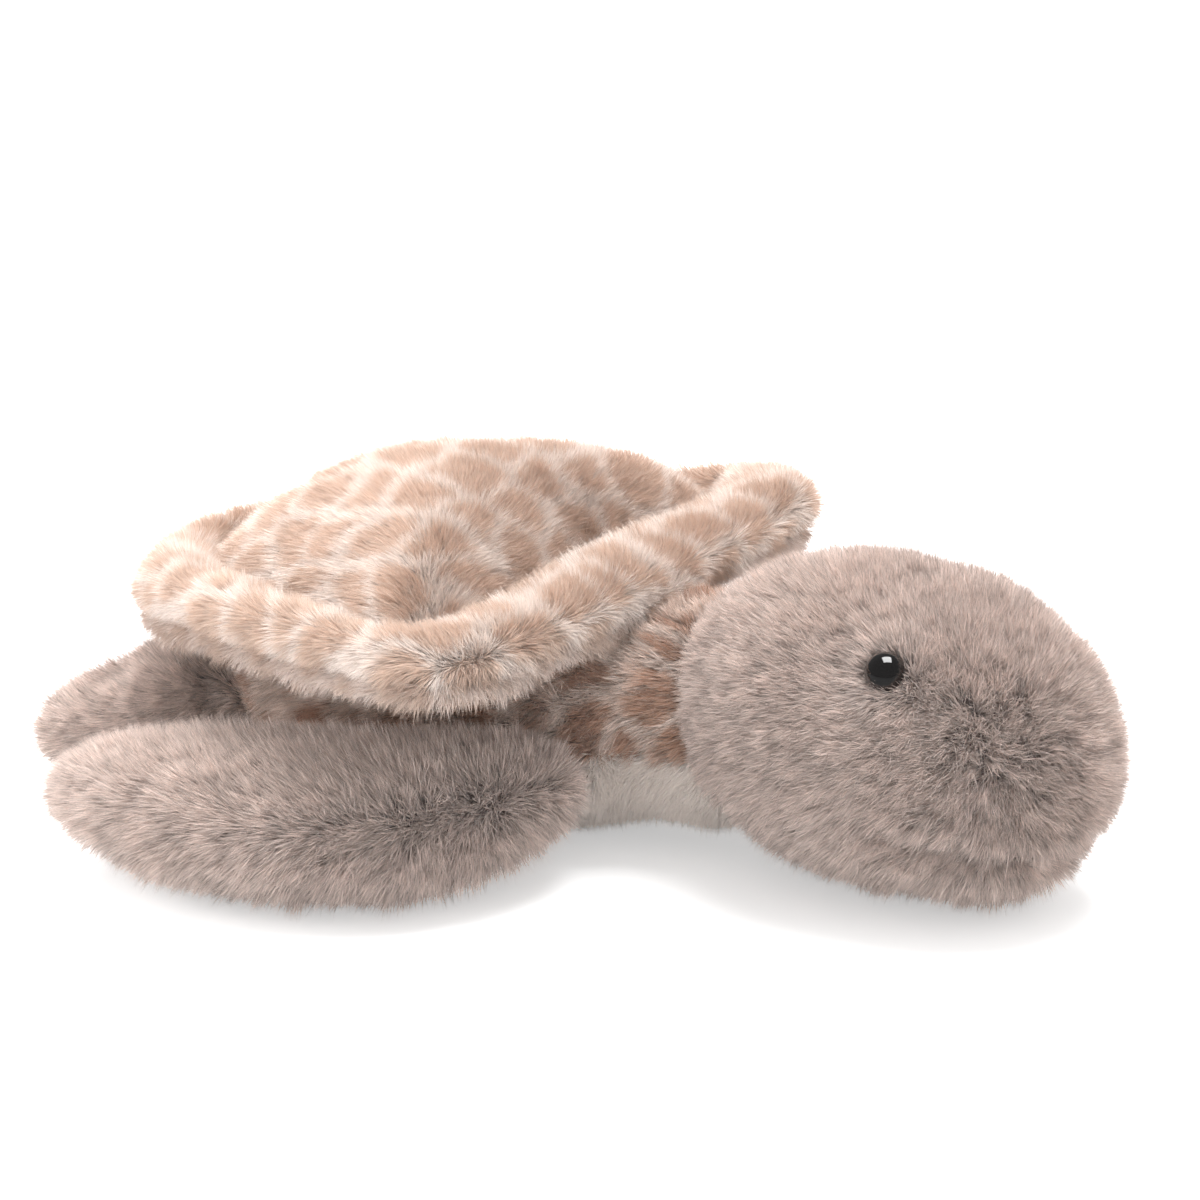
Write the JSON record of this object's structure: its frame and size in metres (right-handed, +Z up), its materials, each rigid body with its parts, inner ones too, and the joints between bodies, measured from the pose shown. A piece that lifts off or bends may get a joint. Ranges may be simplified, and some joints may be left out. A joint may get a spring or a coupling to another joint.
{
  "type": "plush turtle",
  "caption": "Stuffed plush sea turtle lying on its belly, with a padded spotted shell over the body, a large head with domed plastic eyes, swept-back flippers and a short tail.",
  "frame": {"origin": "middle of the bounding box on the surface that the turtle lies on", "axes": "+X from the tail to the head, +Y to the turtle's left, +Z up from the surface"},
  "size_m": [0.374, 0.2894, 0.1207],
  "materials": {
    "taupe_pile": "long soft pile, brushed back",
    "spotted_body_pile": "short curly pile, brown spots on cream",
    "spotted_shell_pile": "long soft pile, large tan spots on cream",
    "cream_pile": "short soft pile, plain cream",
    "fibre_filling": "loose polyester fibre",
    "black_plastic": "high gloss",
    "clear_plastic": "plain moulded"
  },
  "bodies": {
    "torso": {"body_left_panel": "spotted_body_pile", "body_right_panel": "spotted_body_pile", "belly_panel": "cream_pile", "body_filling": "fibre_filling", "shell_top_cover": "spotted_shell_pile", "shell_underside_cover": "cream_pile", "shell_dome_filling": "fibre_filling", "shell_rim_filling": "fibre_filling"},
    "head": {"head_left_panel": "taupe_pile", "head_right_panel": "taupe_pile", "chin_panel": "taupe_pile", "head_filling": "fibre_filling", "eye_left": "black_plastic", "eye_washer_left": "clear_plastic", "eye_right": "black_plastic", "eye_washer_right": "clear_plastic"},
    "front_flipper_left": {"front_flipper_left_top_panel": "taupe_pile", "front_flipper_left_bottom_panel": "taupe_pile", "front_flipper_left_filling": "fibre_filling"},
    "front_flipper_right": {"front_flipper_right_top_panel": "taupe_pile", "front_flipper_right_bottom_panel": "taupe_pile", "front_flipper_right_filling": "fibre_filling"},
    "rear_flipper_left": {"rear_flipper_left_top_panel": "taupe_pile", "rear_flipper_left_bottom_panel": "taupe_pile", "rear_flipper_left_filling": "fibre_filling"},
    "rear_flipper_right": {"rear_flipper_right_top_panel": "taupe_pile", "rear_flipper_right_bottom_panel": "taupe_pile", "rear_flipper_right_filling": "fibre_filling"},
    "tail": {"tail_top_panel": "taupe_pile", "tail_bottom_panel": "taupe_pile", "tail_filling": "fibre_filling"}
  },
  "joints": [
    {"name": "head_turn", "type": "hinge", "parent": "torso", "child": "head", "pos_m": [0.04801, 0, 0.046], "axis": [0, 0, 1], "range_deg": [-15, 15], "stiffness_Nm_per_rad": 0.4},
    {"name": "front_flipper_flap_left", "type": "hinge", "parent": "torso", "child": "front_flipper_left", "pos_m": [0.00501, 0.052, 0.025], "axis": [1, 0, 0], "range_deg": [-10, 10], "stiffness_Nm_per_rad": 0.3},
    {"name": "front_flipper_flap_right", "type": "hinge", "parent": "torso", "child": "front_flipper_right", "pos_m": [0.00501, -0.052, 0.025], "axis": [-1, 0, 0], "range_deg": [-10, 10], "stiffness_Nm_per_rad": 0.3},
    {"name": "rear_flipper_flap_left", "type": "hinge", "parent": "torso", "child": "rear_flipper_left", "pos_m": [-0.10299, 0.038, 0.028], "axis": [0, 1, 0], "range_deg": [-10, 3], "stiffness_Nm_per_rad": 0.1},
    {"name": "rear_flipper_flap_right", "type": "hinge", "parent": "torso", "child": "rear_flipper_right", "pos_m": [-0.10299, -0.038, 0.028], "axis": [0, 1, 0], "range_deg": [-10, 3], "stiffness_Nm_per_rad": 0.1},
    {"name": "tail_wag", "type": "hinge", "parent": "torso", "child": "tail", "pos_m": [-0.14299, 0, 0.017], "axis": [0, 0, 1], "range_deg": [-15, 15], "stiffness_Nm_per_rad": 0.004}
  ]
}
